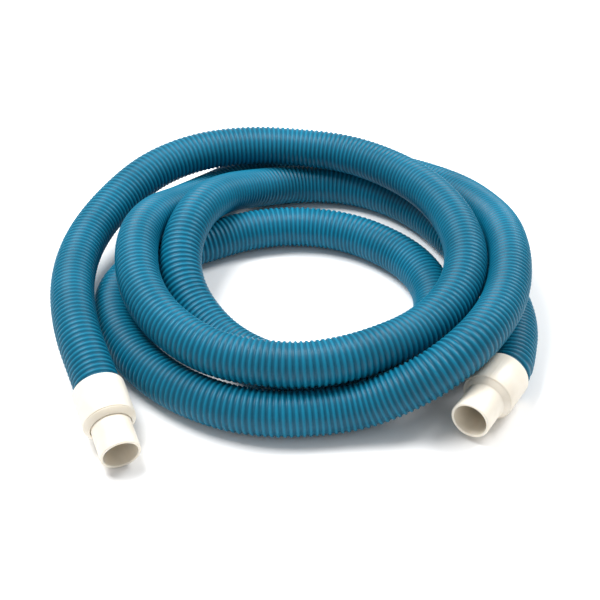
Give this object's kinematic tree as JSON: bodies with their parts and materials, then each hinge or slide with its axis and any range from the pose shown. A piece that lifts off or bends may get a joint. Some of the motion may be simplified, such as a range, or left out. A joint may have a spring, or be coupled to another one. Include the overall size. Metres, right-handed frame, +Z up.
{
  "type": "pool vacuum hose",
  "caption": "Coiled ribbed suction hose with a swivelling cuff on one end and a fixed cuff on the other.",
  "frame": {"origin": "centre of the bounding box in plan, on the surface that the coil lies on", "axes": "+Z up, -Y towards the two cuffs, +X towards the fixed cuff's side; the swivel cuff is at -X"},
  "size_m": [0.5102, 0.5502, 0.097],
  "materials": {
    "hose": "satin teal blue, flexible",
    "cuff": "satin warm white",
    "ring": "satin ivory",
    "seal": "matt black"
  },
  "bodies": {
    "hose": {"hose_wall": "hose", "fixed_cuff": "cuff", "swivel_sleeve": "cuff", "swivel_seal_ring": "seal", "swivel_retaining_ring": "ring"},
    "nozzle": {"swivel_nozzle": "cuff"}
  },
  "joints": [
    {"name": "cuff_swivel", "type": "hinge", "parent": "hose", "child": "nozzle", "pos_m": [-0.17255, -0.22707, 0.02851], "axis": [0.3633, -0.9082, -0.2079], "continuous": true}
  ]
}
